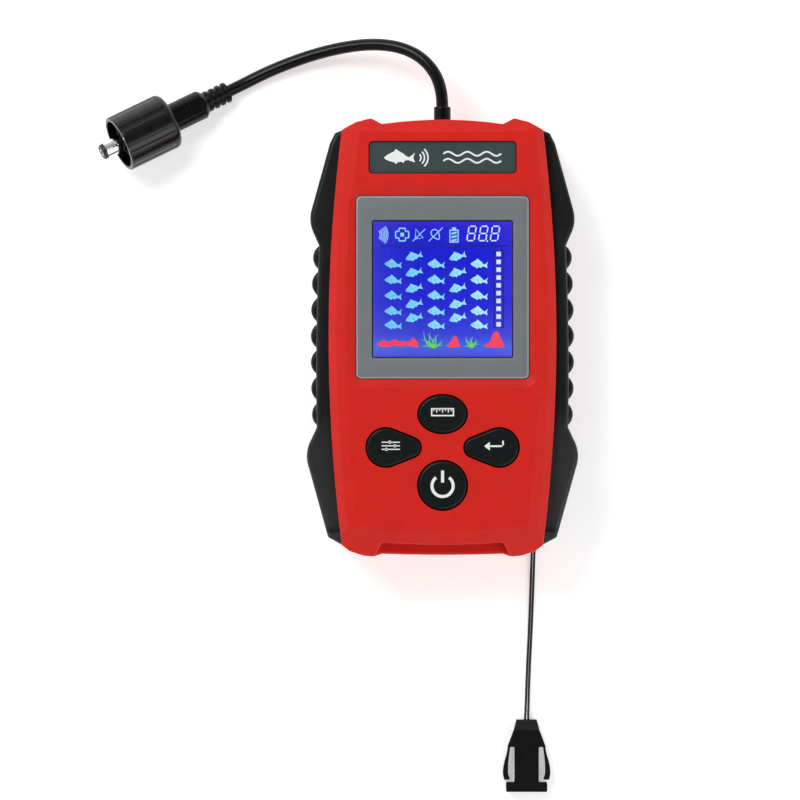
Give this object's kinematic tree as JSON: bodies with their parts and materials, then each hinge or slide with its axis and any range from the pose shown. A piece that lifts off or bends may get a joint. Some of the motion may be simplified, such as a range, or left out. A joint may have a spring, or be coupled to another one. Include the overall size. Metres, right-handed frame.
{
  "type": "fish finder",
  "caption": "Handheld fish finder with a display, four keys, rubber side grips, a screw-plug pigtail for its sonar lead, and a looped lanyard with a clip.",
  "frame": {"origin": "on the surface the case lies on, under the middle of the case", "axes": "+Z out of the display face, +Y along the case towards the cable end, +X to the right of the display"},
  "size_m": [0.1299, 0.2048, 0.03],
  "materials": {
    "red_shell": "satin moulded plastic with a fine grain",
    "grip_rubber": "matt overmoulded rubber",
    "seal_rubber": "matt",
    "bezel_grey": "satin",
    "clear_window": "clear polished acrylic",
    "lcd_glass": "lit blue display",
    "white_plastic": "matt",
    "plate_grey": "satin",
    "circuit_board": "green solder mask",
    "black_plastic": "satin",
    "bare_metal": "plated",
    "key_rubber": "satin silicone rubber",
    "cell_sleeve": "printed sleeve",
    "cable_jacket": "smooth vinyl",
    "nut_plastic": "polished moulding",
    "plug_chrome": "polished",
    "lanyard_cord": "thin braided cord",
    "buckle_plastic": "satin moulding"
  },
  "bodies": {
    "case": {"front_cover": "red_shell", "back_cover": "red_shell", "left_grip": "grip_rubber", "right_grip": "grip_rubber", "case_seal": "seal_rubber", "plug_seal": "seal_rubber", "display_bezel": "bezel_grey", "display_window": "clear_window", "lcd_panel": "lcd_glass", "backlight": "white_plastic", "lcd_holder": "white_plastic", "name_plate": "plate_grey", "main_board": "circuit_board", "tact_switches": "black_plastic", "buzzer": "black_plastic", "sonar_chip": "black_plastic", "pulse_transformer": "black_plastic", "capacitors": "bare_metal", "lead_connector": "white_plastic", "lead_wires": "cable_jacket", "case_screws": "bare_metal", "board_screws": "bare_metal", "keypad_mat": "key_rubber", "battery_cells": "cell_sleeve", "spring_contacts": "bare_metal", "flat_contacts": "bare_metal", "cable_gland": "cable_jacket", "signal_cable": "cable_jacket", "plug_strain_relief": "cable_jacket", "plug_body": "cable_jacket", "plug_barrel": "plug_chrome", "plug_insulator": "black_plastic", "lanyard_bar": "bare_metal", "lanyard_knot": "lanyard_cord", "lanyard_cord": "lanyard_cord", "buckle_body": "buckle_plastic"},
    "key_unit_body": {"key_unit": "key_rubber"},
    "key_setup_body": {"key_setup": "key_rubber"},
    "key_enter_body": {"key_enter": "key_rubber"},
    "key_power_body": {"key_power": "key_rubber"},
    "door": {"battery_door": "red_shell"},
    "nut": {"plug_nut": "nut_plastic"},
    "prong_left": {"buckle_prong_left": "buckle_plastic"},
    "prong_right": {"buckle_prong_right": "buckle_plastic"}
  },
  "joints": [
    {"name": "unit_key_press", "type": "slide", "parent": "case", "child": "key_unit_body", "axis": [0, 0, -1], "range_m": [0, 0.0008], "stiffness_N_per_m": 500},
    {"name": "setup_key_press", "type": "slide", "parent": "case", "child": "key_setup_body", "axis": [0, 0, -1], "range_m": [0, 0.0008], "stiffness_N_per_m": 500},
    {"name": "enter_key_press", "type": "slide", "parent": "case", "child": "key_enter_body", "axis": [0, 0, -1], "range_m": [0, 0.0008], "stiffness_N_per_m": 500},
    {"name": "power_key_press", "type": "slide", "parent": "case", "child": "key_power_body", "axis": [0, 0, -1], "range_m": [0, 0.0008], "stiffness_N_per_m": 500},
    {"name": "battery_door_slide", "type": "slide", "parent": "case", "child": "door", "axis": [0, -1, 0], "range_m": [0, 0.012]},
    {"name": "plug_nut_spin", "type": "hinge", "parent": "case", "child": "nut", "pos_m": [-0.08045, 0.05607, 0.00946], "axis": [-0.8649, -0.4286, 0.2613], "continuous": true},
    {"name": "prong_right_squeeze", "type": "hinge", "parent": "case", "child": "prong_right", "pos_m": [0.02785, -0.1118, 0.0022], "axis": [0, 0, -1], "range_deg": [0, 8], "stiffness_Nm_per_rad": 0.05},
    {"name": "prong_left_squeeze", "type": "hinge", "parent": "case", "child": "prong_left", "pos_m": [0.01815, -0.1118, 0.0022], "axis": [0, 0, 1], "range_deg": [0, 8], "stiffness_Nm_per_rad": 0.05}
  ]
}
